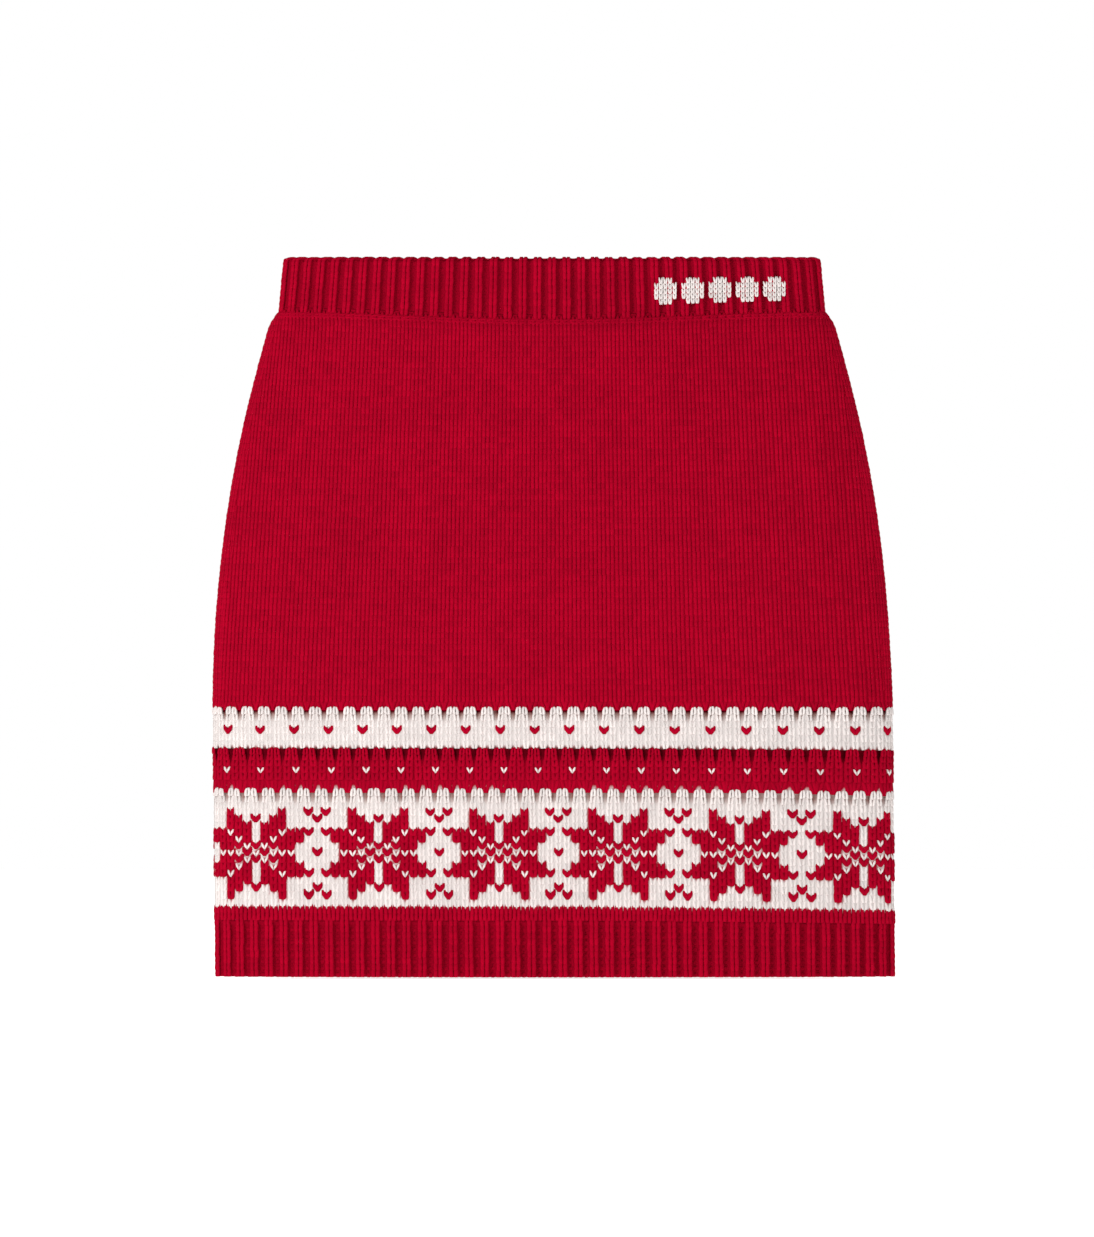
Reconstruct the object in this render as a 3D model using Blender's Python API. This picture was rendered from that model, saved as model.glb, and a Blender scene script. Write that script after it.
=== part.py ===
"""A knitted mini skirt, standing softly open on its hem.

Metres, +Z up, the front faces -Y. The origin is the middle of the hem's lower
edge. Front and back are knitted panels that meet in linked side seams; each
panel runs from a ribbed hem through a star band and two tick bands to a plain
body. A folded ribbed waistband holds an elastic and is linked to the body.
"""

import math

import bmesh
import bpy

# ---------------------------------------------------------------- driving sizes

# Heights of the knitted sections, from the hem upwards
HEM_RIB_HEIGHT = 0.0397
STAR_BAND_HEIGHT = 0.0701
RED_TICK_BAND_HEIGHT = 0.0226
WHITE_TICK_BAND_HEIGHT = 0.0253
BODY_HEIGHT = 0.2248
WAISTBAND_HEIGHT = 0.0345

# The outline: an ellipse at every height
HIP_HALF_WIDTH = 0.1990
HIP_HALF_DEPTH = 0.0410
HIP_LINE = 0.1300  # above the hem, where the side starts to curve in
HIP_CURVE = 2.3  # how slowly that curve starts
WAIST_SEAM_HALF_WIDTH = 0.1646
WAIST_SEAM_HALF_DEPTH = 0.0370
WAIST_TOP_HALF_WIDTH = 0.1599
WAIST_TOP_HALF_DEPTH = 0.0360
WAISTBAND_STEP = 0.0025  # the waistband sits in from the body at their seam

# Fabric
KNIT_WALL = 0.0028
RIB_DEPTH = 0.0016
HEM_RIBS = 46  # on each panel
WAIST_RIBS = 39
GAP = 0.0003  # between pieces that touch

# Elastic, seams and trim
ELASTIC_HEIGHT = 0.0240
ELASTIC_THICKNESS = 0.0010
CHANNEL_PLAY = 0.0005  # on each side of the elastic
CHAIN_RADIUS = 0.0012
CHAIN_INSET = 0.0002  # from the waistband's outer face to the middle of the chain
SEAM_RIDGE_RADIUS = 0.0013
MOTIF_WIDTH = 0.0770
MOTIF_HEIGHT = 0.0157
MOTIF_CENTRE_X = 0.0980
MOTIF_DROP = 0.0117  # from the waistband's top edge to the motif
MOTIF_THICKNESS = 0.0006

# Labels
LABEL_THICKNESS = 0.0006
MAIN_LABEL_WIDTH = 0.0500
MAIN_LABEL_HEIGHT = 0.0220
MAIN_LABEL_DROP = 0.0060  # from the waistband's top edge to its hinge line
LABEL_STITCH_RADIUS = 0.0004
CARE_LABEL_LENGTH = 0.0500
CARE_LABEL_HEIGHT = 0.0240
CARE_LABEL_ABOVE_HEM = 0.2350
LABEL_PLAY = 0.0008  # a label stands this far off the knit it hangs against

# Fineness of the facets
PANEL_COLUMNS = 26
CHAIN_COLUMNS = 72
ARC_SAMPLES = 720

# ---------------------------------------------------------------- worked out

STAR_BASE = HEM_RIB_HEIGHT
RED_TICK_BASE = STAR_BASE + STAR_BAND_HEIGHT
WHITE_TICK_BASE = RED_TICK_BASE + RED_TICK_BAND_HEIGHT
BODY_BASE = WHITE_TICK_BASE + WHITE_TICK_BAND_HEIGHT
BODY_TOP = BODY_BASE + BODY_HEIGHT
CHAIN_ROOM = 2 * CHAIN_RADIUS + 2 * GAP
WAISTBAND_BASE = BODY_TOP + CHAIN_ROOM
TOTAL_HEIGHT = WAISTBAND_BASE + WAISTBAND_HEIGHT

CHANNEL = ELASTIC_THICKNESS + 2 * CHANNEL_PLAY  # between the waistband's two layers
WAISTBAND_INSET = KNIT_WALL + RIB_DEPTH + CHANNEL + KNIT_WALL

FRONT, BACK = -1, 1
COLLECTION = "knitted_skirt"

MATERIALS = {
    "red_wool": ((0.366, 0.002, 0.018), 0.9),
    "white_wool": ((0.80, 0.73, 0.71), 0.9),
    "elastic": ((0.45, 0.03, 0.04), 0.8),
    "label": ((0.82, 0.80, 0.76), 0.55),
    "thread": ((0.55, 0.01, 0.03), 0.6),
}


def clear_scene():
    for item in list(bpy.data.objects):
        bpy.data.objects.remove(item, do_unlink=True)


def make_material(name):
    colour, roughness = MATERIALS[name]
    material = bpy.data.materials.new(name)
    material.use_nodes = True
    shader = material.node_tree.nodes["Principled BSDF"]
    shader.inputs["Base Color"].default_value = (*colour, 1.0)
    shader.inputs["Roughness"].default_value = roughness
    shader.inputs["Metallic"].default_value = 0.0
    return material


def blend(low, high, share):
    return low + (high - low) * share


def outline(height):
    """Half-width and half-depth of the outer face at this height."""
    if height <= HIP_LINE:
        return HIP_HALF_WIDTH, HIP_HALF_DEPTH
    if height <= BODY_TOP:
        share = ((height - HIP_LINE) / (BODY_TOP - HIP_LINE)) ** HIP_CURVE
        return (
            blend(HIP_HALF_WIDTH, WAIST_SEAM_HALF_WIDTH, share),
            blend(HIP_HALF_DEPTH, WAIST_SEAM_HALF_DEPTH, share),
        )
    share = (height - BODY_TOP) / (TOTAL_HEIGHT - BODY_TOP)
    return (
        blend(WAIST_SEAM_HALF_WIDTH, WAIST_TOP_HALF_WIDTH, share) - WAISTBAND_STEP,
        blend(WAIST_SEAM_HALF_DEPTH, WAIST_TOP_HALF_DEPTH, share) - WAISTBAND_STEP,
    )


def equal_arc_angles(count):
    """Angles from 0 to pi that cut half the hip ellipse into equal lengths."""
    steps = [math.pi * i / ARC_SAMPLES for i in range(ARC_SAMPLES + 1)]
    run = [0.0]
    for start, end in zip(steps, steps[1:]):
        middle = (start + end) / 2
        speed = math.hypot(
            HIP_HALF_WIDTH * math.sin(middle), HIP_HALF_DEPTH * math.cos(middle)
        )
        run.append(run[-1] + speed * (end - start))
    angles = []
    place = 0
    for i in range(count + 1):
        target = run[-1] * i / count
        while place < ARC_SAMPLES - 1 and run[place + 1] < target:
            place += 1
        share = (target - run[place]) / (run[place + 1] - run[place])
        angles.append(blend(steps[place], steps[place + 1], share))
    return angles


def even_angles(count):
    """Angles from 0 to pi in equal steps, which are closest together at the sides."""
    return [math.pi * i / count for i in range(count + 1)]


def wall_point(side, angle, inset, height):
    """A point inset from the outer face. Angle runs from 0 at +X to pi at -X."""
    half_width, half_depth = outline(height)
    return (
        (half_width - inset) * math.cos(angle),
        side * ((half_depth - inset) * math.sin(angle) + GAP / 2),
        height,
    )


def add_object(name, mesh, material_name, collection):
    item = bpy.data.objects.new(name, mesh)
    mesh.materials.append(bpy.data.materials[material_name])
    collection.objects.link(item)
    return item


def bmesh_to_object(bm, name, material_name, collection):
    bmesh.ops.recalc_face_normals(bm, faces=bm.faces)
    mesh = bpy.data.meshes.new(name)
    bm.to_mesh(mesh)
    bm.free()
    return add_object(name, mesh, material_name, collection)


def sweep(profile, columns, place, closed=False):
    """Extrudes a closed profile from column to column.

    place(column, corner) gives the position of one corner of the profile. Both
    ends are capped, or joined to each other where the sweep goes right round.
    """
    bm = bmesh.new()
    first = bmesh.ops.create_circle(
        bm, cap_ends=not closed, radius=1.0, segments=len(profile)
    )
    ring = first["verts"]
    for vert, corner in zip(ring, profile):
        vert.co = place(0, corner)
    edges = first_edges = list(bm.edges)
    for column in range(1, columns + 1):
        grown = bmesh.ops.extrude_edge_only(bm, edges=edges)["geom"]
        new_verts = [item for item in grown if isinstance(item, bmesh.types.BMVert)]
        edges = [
            item
            for item in grown
            if isinstance(item, bmesh.types.BMEdge)
            and item.verts[0] in new_verts
            and item.verts[1] in new_verts
        ]
        ring = [follow(vert, new_verts) for vert in ring]
        for vert, corner in zip(ring, profile):
            vert.co = place(column, corner)
    if closed:
        bmesh.ops.bridge_loops(bm, edges=first_edges + edges)
    else:
        bmesh.ops.contextual_create(bm, geom=edges)
    return bm


def follow(vert, new_verts):
    """The vertex that was extruded from this one."""
    fresh = set(new_verts)
    return next(
        edge.other_vert(vert)
        for edge in vert.link_edges
        if edge.other_vert(vert) in fresh
    )


def knit_panel(name, side, profile, columns, material_name, collection, ribbed=False):
    """Half of the skirt's wall. The profile's corners are (inset, height, ribbing)."""
    angles = equal_arc_angles(columns) if ribbed else even_angles(columns)

    def place(column, corner):
        inset, height, ribbing = corner
        valley = ribbed and column % 2 == 0
        inset += ribbing * RIB_DEPTH if valley else 0.0
        return wall_point(side, angles[column], inset, height)

    bm = sweep(profile, columns, place)
    return bmesh_to_object(bm, name, material_name, collection)


def plain_profile(low, high, courses, ribbing=0.0):
    """A wall of one knit thickness between two heights."""
    low += GAP / 2 if low > 0 else 0.0
    high -= GAP / 2 if high < BODY_TOP else 0.0
    heights = [blend(low, high, i / courses) for i in range(courses + 1)]
    outer = [(0.0, height, ribbing) for height in heights]
    inner = [(KNIT_WALL, height, ribbing) for height in reversed(heights)]
    return outer + inner


def waistband_profile():
    """Two layers of rib folded over at the top, with a channel between them."""
    outer_back = KNIT_WALL + RIB_DEPTH
    inner_front = outer_back + CHANNEL
    fold_low = TOTAL_HEIGHT - KNIT_WALL
    shoulder = KNIT_WALL / 3
    return [
        (0.0, WAISTBAND_BASE, 1.0),
        (0.0, TOTAL_HEIGHT - shoulder, 1.0),
        (shoulder, TOTAL_HEIGHT, 1.0),
        (WAISTBAND_INSET - shoulder, TOTAL_HEIGHT, 0.0),
        (WAISTBAND_INSET, TOTAL_HEIGHT - shoulder, 0.0),
        (WAISTBAND_INSET, WAISTBAND_BASE, 0.0),
        (inner_front, WAISTBAND_BASE, 0.0),
        (inner_front, fold_low, 0.0),
        (outer_back, fold_low, 0.0),
        (outer_back, WAISTBAND_BASE, 0.0),
    ]


def ring_point(angle, inset, height):
    """A point on a ring that goes right round the skirt."""
    half_width, half_depth = outline(height)
    return (
        (half_width - inset) * math.cos(angle),
        (half_depth - inset) * math.sin(angle),
        height,
    )


def tube(name, points, radius, material_name, collection, closed=False):
    curve = bpy.data.curves.new(name, "CURVE")
    curve.dimensions = "3D"
    curve.bevel_depth = radius
    curve.bevel_resolution = 2
    curve.use_fill_caps = not closed
    line = curve.splines.new("POLY")
    line.points.add(len(points) - 1)
    for spot, place in zip(line.points, points):
        spot.co = (*place, 1.0)
    line.use_cyclic_u = closed
    curve.materials.append(bpy.data.materials[material_name])
    item = bpy.data.objects.new(name, curve)
    collection.objects.link(item)
    return item


# ---------------------------------------------------------------- the pieces


def make_panel_sections(collection):
    sections = (
        ("hem_rib", 0.0, STAR_BASE, 1, "red_wool"),
        ("star_band", STAR_BASE, RED_TICK_BASE, 1, "white_wool"),
        ("red_tick_band", RED_TICK_BASE, WHITE_TICK_BASE, 1, "red_wool"),
        ("white_tick_band", WHITE_TICK_BASE, BODY_BASE, 1, "white_wool"),
        ("body", BODY_BASE, BODY_TOP, 7, "red_wool"),
    )
    for name, low, high, courses, colour in sections:
        ribbed = name == "hem_rib"
        columns = 2 * HEM_RIBS if ribbed else PANEL_COLUMNS
        profile = plain_profile(low, high, courses, 1.0 if ribbed else 0.0)
        for word, side in (("front", FRONT), ("back", BACK)):
            knit_panel(
                f"{name}_{word}", side, profile, columns, colour, collection, ribbed
            )


def make_waistband(collection):
    for word, side in (("front", FRONT), ("back", BACK)):
        knit_panel(
            f"waistband_{word}",
            side,
            waistband_profile(),
            2 * WAIST_RIBS,
            "red_wool",
            collection,
            ribbed=True,
        )


def make_elastic(collection):
    """A flat ring inside the waistband's channel."""
    low = WAISTBAND_BASE + (WAISTBAND_HEIGHT - KNIT_WALL - ELASTIC_HEIGHT) / 2
    high = low + ELASTIC_HEIGHT
    front = KNIT_WALL + RIB_DEPTH + CHANNEL_PLAY
    back = front + ELASTIC_THICKNESS
    profile = [(front, low), (front, high), (back, high), (back, low)]
    half = equal_arc_angles(2 * WAIST_RIBS)[:-1]
    angles = half + [angle + math.pi for angle in half]

    def place(column, corner):
        inset, height = corner
        return ring_point(angles[column], inset, height)

    bm = sweep(profile, len(angles) - 1, place, closed=True)
    bmesh_to_object(bm, "waist_elastic", "elastic", collection)


def make_linking_chain(collection):
    """The raised chain of loops that links the waistband to the body."""
    height = BODY_TOP + CHAIN_ROOM / 2
    turn = 2 * math.pi / CHAIN_COLUMNS
    points = [ring_point(turn * i, CHAIN_INSET, height) for i in range(CHAIN_COLUMNS)]
    tube(
        "waistband_linking_chain", points, CHAIN_RADIUS, "red_wool", collection, True
    )


def make_side_seams(collection):
    """The ridge of linked loops behind each side seam."""
    inset = KNIT_WALL + RIB_DEPTH + GAP + SEAM_RIDGE_RADIUS
    low = SEAM_RIDGE_RADIUS
    high = BODY_TOP - SEAM_RIDGE_RADIUS
    steps = 16
    heights = [blend(low, high, i / steps) for i in range(steps + 1)]
    for word, way in (("left", 1), ("right", -1)):
        points = [(way * (outline(z)[0] - inset), 0.0, z) for z in heights]
        tube(f"side_seam_{word}", points, SEAM_RIDGE_RADIUS, "red_wool", collection)


def make_motif(collection):
    """A plain band of white embroidery that lies on the waistband's ribs."""
    high = TOTAL_HEIGHT - MOTIF_DROP
    low = high - MOTIF_HEIGHT
    back = -GAP
    front = back - MOTIF_THICKNESS
    profile = [(front, low), (front, high), (back, high), (back, low)]
    columns = 10
    start = MOTIF_CENTRE_X - MOTIF_WIDTH / 2

    def place(column, corner):
        inset, height = corner
        x = start + MOTIF_WIDTH * column / columns
        half_width, half_depth = outline(height)
        angle = math.acos(x / (half_width - inset))
        return wall_point(FRONT, angle, inset, height)

    bmesh_to_object(
        sweep(profile, columns, place), "waistband_motif", "white_wool", collection
    )


def make_box(name, low, high, pivot, material_name, collection):
    """A box between two corners, with its object's origin at the pivot."""
    bm = bmesh.new()
    bmesh.ops.create_cube(bm, size=1.0)
    for vert in bm.verts:
        vert.co = [
            (high[i] if vert.co[i] > 0 else low[i]) - pivot[i] for i in range(3)
        ]
    item = bmesh_to_object(bm, name, material_name, collection)
    item.location = pivot
    return item


def inner_waist_depth(x, height):
    """Half-depth of the waistband's inner face at this distance from the middle."""
    half_width, half_depth = outline(height)
    share = x / (half_width - WAISTBAND_INSET)
    return (half_depth - WAISTBAND_INSET) * math.sqrt(1 - share * share)


def make_main_label(collection):
    """A blank label that hangs inside the back waistband from its sewn top edge."""
    top = TOTAL_HEIGHT - MAIN_LABEL_DROP
    edge = MAIN_LABEL_WIDTH / 2
    behind = inner_waist_depth(edge, TOTAL_HEIGHT) - LABEL_PLAY
    low = (-edge, behind - LABEL_THICKNESS, top - MAIN_LABEL_HEIGHT)
    high = (edge, behind, top)
    pivot = (0.0, behind - LABEL_THICKNESS / 2, top)
    make_box("main_label", low, high, pivot, "label", collection)
    stitch_z = top + LABEL_STITCH_RADIUS + GAP
    reach = edge - LABEL_STITCH_RADIUS
    points = [(-reach, pivot[1], stitch_z), (reach, pivot[1], stitch_z)]
    tube("main_label_stitching", points, LABEL_STITCH_RADIUS, "thread", collection)


def make_care_label(collection):
    """A blank label caught in the wearer's left seam, reaching into the skirt."""
    height = CARE_LABEL_ABOVE_HEM + CARE_LABEL_HEIGHT
    seam_inset = KNIT_WALL + RIB_DEPTH + GAP + 2 * SEAM_RIDGE_RADIUS + LABEL_PLAY
    root = outline(height)[0] - seam_inset
    low = (root - CARE_LABEL_LENGTH, -LABEL_THICKNESS / 2, CARE_LABEL_ABOVE_HEM)
    high = (root, LABEL_THICKNESS / 2, height)
    pivot = (root, 0.0, blend(low[2], high[2], 0.5))
    make_box("care_label", low, high, pivot, "label", collection)


def main():
    clear_scene()
    collection = bpy.data.collections.new(COLLECTION)
    bpy.context.scene.collection.children.link(collection)
    for name in MATERIALS:
        make_material(name)
    make_panel_sections(collection)
    make_waistband(collection)
    make_elastic(collection)
    make_linking_chain(collection)
    make_side_seams(collection)
    make_motif(collection)
    make_main_label(collection)
    make_care_label(collection)


if __name__ == "__main__":
    main()
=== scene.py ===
"""A knitted mini skirt, made stitch by stitch around its frame.

Flat knitting has two coordinates: a place across the panel, from one side seam
to the other, and a height. Stitches and cloth are laid out flat, gathered round
the eyelets, and then wrapped on the skirt's oval outline.
"""

import math

import bmesh
import bpy
import numpy as np
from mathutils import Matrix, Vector


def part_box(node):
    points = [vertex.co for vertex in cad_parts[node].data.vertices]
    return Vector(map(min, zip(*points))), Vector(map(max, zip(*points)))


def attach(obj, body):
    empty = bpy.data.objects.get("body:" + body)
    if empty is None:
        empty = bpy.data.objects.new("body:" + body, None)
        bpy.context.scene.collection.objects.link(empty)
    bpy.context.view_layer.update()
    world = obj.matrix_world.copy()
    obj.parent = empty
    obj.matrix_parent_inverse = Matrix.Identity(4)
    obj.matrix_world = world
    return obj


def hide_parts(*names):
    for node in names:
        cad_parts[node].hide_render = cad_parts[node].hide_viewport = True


bl_info = {
    "name": "Knitted Mini Skirt",
    "version": (1, 0, 0),
    "blender": (4, 5, 0),
    "location": "3D View > Sidebar > Skirt",
    "description": "Builds a knitted mini skirt stitch by stitch around its frame",
    "category": "Object",
}

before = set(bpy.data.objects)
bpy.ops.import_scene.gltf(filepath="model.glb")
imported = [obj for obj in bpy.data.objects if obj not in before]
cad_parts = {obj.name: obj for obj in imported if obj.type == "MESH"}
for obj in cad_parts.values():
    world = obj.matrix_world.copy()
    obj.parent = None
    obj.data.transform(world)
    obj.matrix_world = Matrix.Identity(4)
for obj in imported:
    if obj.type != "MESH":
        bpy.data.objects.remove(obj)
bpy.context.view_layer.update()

SKIRT = "skirt"
FRONT, BACK = "front", "back"

# ------------ places in the frame


def height_between(below, above):
    """The height of the line where two pieces meet."""
    return (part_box(below)[1][2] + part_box(above)[0][2]) / 2


STAR_BASE = height_between("hem_rib_front", "star_band_front") + 0.0009
RED_TICK_BASE = height_between("star_band_front", "red_tick_band_front")
WHITE_TICK_BASE = height_between("red_tick_band_front", "white_tick_band_front") + 0.0012
BODY_BASE = height_between("white_tick_band_front", "body_front") - 0.0004
BODY_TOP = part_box("body_front")[1][2]
WAISTBAND_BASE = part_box("waistband_front")[0][2]
SKIRT_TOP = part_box("waistband_front")[1][2]

HALF_GAP = 0.00015  # between the front and the back half in the frame
ROLL = 0.006  # height over which the top of the body rolls in to the waist seam
HIP_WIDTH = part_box("star_band_front")[1][0]
HIP_DEPTH = -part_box("star_band_front")[0][1] - HALF_GAP
WAIST_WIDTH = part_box("waistband_front")[1][0]
WAIST_DEPTH = -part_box("waistband_front")[0][1] - HALF_GAP


# ------------ sizes and colours


def as_length(name, description, default):
    return bpy.props.FloatProperty(name=name, description=description, default=default, unit="LENGTH")


def as_count(name, description, default):
    return bpy.props.IntProperty(name=name, description=description, default=default)


def as_colour(name, description, default):
    return bpy.props.FloatVectorProperty(
        name=name, description=description, subtype="COLOR",
        size=3, min=0.0, max=1.0, default=default,
    )


class SkirtSizes(bpy.types.PropertyGroup):
    hip_line: as_length("Hip line", "Height above the hem where the sides start to curve in", 0.130)
    hip_curve: bpy.props.FloatProperty(
        name="Hip curve", description="How slowly the sides start to curve in", default=2.3
    )
    waist_step: as_length(
        "Waist step", "How far the waistband sits in from the body at their seam", 0.0036
    )
    waist_taper: as_length(
        "Waist taper", "How much nearer the middle each side of the waistband is at its top", 0.0032
    )
    hem_lean: as_length("Hem lean", "How far the hem hangs to the wearer's left of the waist", 0.0019)
    band_drop: as_length("Band drop", "How much lower the bands lie at the wearer's left", 0.0027)
    waist_dip: as_length(
        "Waist dip", "How far the waist seam dips in the middle and rises at the sides", 0.0022
    )
    stitches: as_count("Stitches", "Knit columns across one panel at the hips", 82)
    waist_stitch: as_length("Waist stitch", "Width of a stitch at the top of the body", 0.00474)
    body_rows: as_count("Body rows", "Courses of plain knit in the body", 68)
    yarn: as_length("Yarn", "Thickness of the yarn where it lies on the surface", 0.0018)
    cloth: as_length("Cloth", "Thickness of the cloth behind the yarn", 0.0014)
    hem_ribs: as_count("Hem ribs", "Ribs across one panel's hem", 46)
    hem_rows: as_count("Hem rows", "Courses of rib in the hem", 9)
    waist_ribs: as_count("Waist ribs", "Ribs across one half of the waist", 39)
    waist_rows: as_count(
        "Waist rows", "Courses of rib in the waistband, over the fold and down inside", 21
    )
    rib_depth: as_length(
        "Rib depth", "From the crest of a rib to the bottom of the groove beside it", 0.0028
    )


class SkirtColours(bpy.types.PropertyGroup):
    red: as_colour("Red yarn", "The main yarn", (0.385, 0.0008, 0.0175))
    white: as_colour("White yarn", "The pattern yarn", (0.80, 0.735, 0.71))
    label: as_colour("Label", "The woven labels", (0.80, 0.78, 0.73))
    elastic: as_colour("Elastic", "The elastic in the waist", (0.42, 0.03, 0.04))


def sizes():
    return bpy.context.scene.skirt_sizes


def colours():
    return bpy.context.scene.skirt_colours


# ------------ the oval outline


def outline(height):
    """Half-width and half-depth of the knit's outer face at these heights."""
    s = sizes()
    rise = np.clip((height - s.hip_line) / (BODY_TOP - s.hip_line), 0, 1) ** s.hip_curve
    seam_width = WAIST_WIDTH + s.waist_step
    seam_depth = WAIST_DEPTH + s.waist_step
    width = HIP_WIDTH + (seam_width - HIP_WIDTH) * rise
    depth = HIP_DEPTH + (seam_depth - HIP_DEPTH) * rise
    band = np.clip((height - BODY_TOP) / (SKIRT_TOP - BODY_TOP), 0, 1)
    roll = np.clip((height - BODY_TOP + ROLL) / (ROLL + WAISTBAND_BASE - BODY_TOP), 0, 1)
    step = s.waist_step * roll ** 2
    return width - step - s.waist_taper * band, depth - step - s.waist_taper / 4 * band


def half_panel(height):
    """Length of the knit from the middle of a panel to its side seam."""
    a, b = outline(height)
    h = ((a - b) / (a + b)) ** 2
    return math.pi * (a + b) * (1 + 3 * h / (10 + np.sqrt(4 - 3 * h))) / 4


def reach_at(height):
    return half_panel(np.array([height]))[0]


def quarter_turn_table(samples=2000):
    """Angles over a quarter of the oval, and the share of its length up to each."""
    angle = np.linspace(0, math.pi / 2, samples)
    speed = np.hypot(HIP_WIDTH * np.cos(angle), HIP_DEPTH * np.sin(angle))
    run = np.concatenate([[0], np.cumsum((speed[1:] + speed[:-1]) / 2)])
    return angle, run / run[-1]


QUARTER_ANGLES, QUARTER_RUN = quarter_turn_table()


def wrap(share, height, inset, out, side):
    """Places on the skirt. Share runs from -1 to 1 between a panel's side seams,
    inset moves in towards the middle of the oval, and out is along its normal."""
    a, b = outline(height)
    a = a - inset
    b = b - inset
    past = np.abs(share) > 1
    within = np.where(past, 2 - np.abs(share), np.abs(share))
    angle = np.interp(within, QUARTER_RUN, QUARTER_ANGLES)
    angle = np.where(past, math.pi - angle, angle) * np.sign(share)
    sine, cosine = np.sin(angle), np.cos(angle)
    across, towards = sine / a, -cosine / b
    length = np.hypot(across, towards)
    x = a * sine + out * across / length
    y = -b * cosine + out * towards / length
    turn = 1 if side == FRONT else -1
    lean = sizes().hem_lean * np.clip(1 - height / 0.2, 0, 1)
    near_seam = np.exp(-(((height - WAISTBAND_BASE) / 0.02) ** 2))
    dip = sizes().waist_dip * np.cos(math.pi * np.clip(share, -1, 1)) * near_seam
    slope = np.interp(height, (0, 0.03, 0.05, 0.09, 0.125, 0.165), (0, 0.8, 1, 1, 0.6, 0))
    drop = sizes().band_drop * np.clip(turn * x / HIP_WIDTH, 0, 1) ** 1.5 * slope
    return np.stack([turn * x + lean, turn * y, height - dip - drop], axis=1)


# ------------ flat knitting

STAR_REPEAT = 14
STAR_COLUMN = 7
STAR_MIDDLE_ROW = 7
STAR_ROWS = 17
TICK_ROWS = 6
TICK_ROW = 2
TICK_REPEAT = 4
TICK_COLUMN = 1
# Red columns of a star in each row counted from its middle, the same both ways
STAR = {
    0: {1, 7},
    1: {0, 2, 3, 4},
    2: {1, 3, 4, 5},
    3: {1, 2, 4, 5, 6},
    4: {1, 2, 3},
    5: {0, 2, 3, 7},
    6: {3, 6},
}
# How each band lies: where its middle is, the width of a stitch there, and how far
# the knit is pulled aside and spread out towards the side seams
LIE = {
    "star": (0.0002, 0.00495, 0.0011, 0.0104),
    "red_tick": (0.0036, 0.00498, 0.0039, 0.0119),
    "white_tick": (0.0020, 0.00505, 0.0055, 0.0072),
}


def column_place(section, column):
    """Where a column's line lies across the panel, from the panel's middle."""
    middle, stitch, aside, spread = LIE.get(section, LIE["white_tick"])
    share = column / (sizes().stitches / 2)
    return middle + stitch * column + aside * share**2 + spread * share**3


def column_at(section, place):
    """The column that lies at a place across the panel."""
    half_count = sizes().stitches / 2
    columns = np.linspace(-half_count - 3, half_count + 3, 200)
    return np.interp(place, column_place(section, columns), columns)


def hip_stitch():
    return reach_at(0.0) / (sizes().stitches / 2)


def is_star(column, row):
    across = (column - STAR_COLUMN + STAR_REPEAT // 2) % STAR_REPEAT - STAR_REPEAT // 2
    return abs(across) in STAR.get(abs(row - STAR_MIDDLE_ROW), ())


BANDS = {
    "star": (STAR_BASE, RED_TICK_BASE, STAR_ROWS),
    "red_tick": (RED_TICK_BASE, WHITE_TICK_BASE, TICK_ROWS),
    "white_tick": (WHITE_TICK_BASE, BODY_BASE, TICK_ROWS),
}
LIFT = {"star": 0.0018, "red_tick": 0.0015, "white_tick": 0.0005}
EYELET_PHASE = {"star": 0, "red_tick": 0, "white_tick": 1}


def from_eyelet(section, s):
    """Columns from the nearest line of eyelets, from -1 to 1."""
    return (column_at(section, s) - EYELET_PHASE[section] + 1) % 2 - 1


def gather(section, s, z, home=None):
    """Draws a band's top courses away from its eyelets, into scallops. Home is
    the middle of the stitch that each place belongs to, which keeps its side."""
    if section not in BANDS:
        return s, z
    low, high, count = BANDS[section]
    course = (high - low) / count
    home = s if home is None else home
    apart = from_eyelet(section, home)
    side = np.where(apart < 0, -1, 1)
    near = np.clip(1 - np.abs(apart) - side * (s - home) / hip_stitch(), 0, 1.1)
    rise = np.clip((z - high + 2.7 * course) / (2.5 * course), 0, 1)
    pull = rise * rise * (3 - 2 * rise) * near
    return s + 0.28 * hip_stitch() * side * pull, z - 0.22 * course * pull * near


def add_object(name, data):
    item = bpy.data.objects.new(name, data)
    bpy.context.scene.collection.objects.link(item)
    return item


# ------------ templates

LEG_SIDES = 5
SET_BACK = -0.0002  # how deep the first course above a band's eyelets lies


def capsule(bm, low_end, high_end, cuts, form):
    """A closed tube in rings. form(t) gives a ring's middle and its two radii."""
    made = bmesh.ops.create_cone(bm, cap_ends=True, segments=LEG_SIDES, radius1=1, radius2=1, depth=1)
    verts = set(made["verts"])
    for cut in cuts:
        geom = [vert for vert in bm.verts if vert in verts]
        geom += [part for part in (*bm.edges, *bm.faces) if all(v in verts for v in part.verts)]
        split = bmesh.ops.bisect_plane(
            bm, geom=geom, plane_co=(0, 0, cut - 0.5), plane_no=(0, 0, 1)
        )["geom_cut"]
        verts |= {part for part in split if isinstance(part, bmesh.types.BMVert)}
    layer = bm.loops.layers.uv.verify()
    for face in {face for vert in verts for face in vert.link_faces}:
        turns = [math.atan2(loop.vert.co.y, loop.vert.co.x) / math.tau
                 for loop in face.loops]
        seam = max(turns) - min(turns) > 0.5
        for loop, turn in zip(face.loops, turns):
            around = turn + 1 if seam and turn < 0 else turn
            loop[layer].uv = (around, loop.vert.co.z + 0.5)
    for vert in verts:
        t = vert.co.z + 0.5
        middle, wide, deep = form(t)
        height = low_end + (high_end - low_end) * t
        vert.co = (middle[0] + vert.co.x * wide, middle[1] + vert.co.y * deep, height)
    return verts


def swell(t, end):
    """Thickness along a strand that is thin at both ends."""
    return end + (1 - end) * math.sin(math.pi * min(max(t, 0), 1)) ** 0.7


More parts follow.
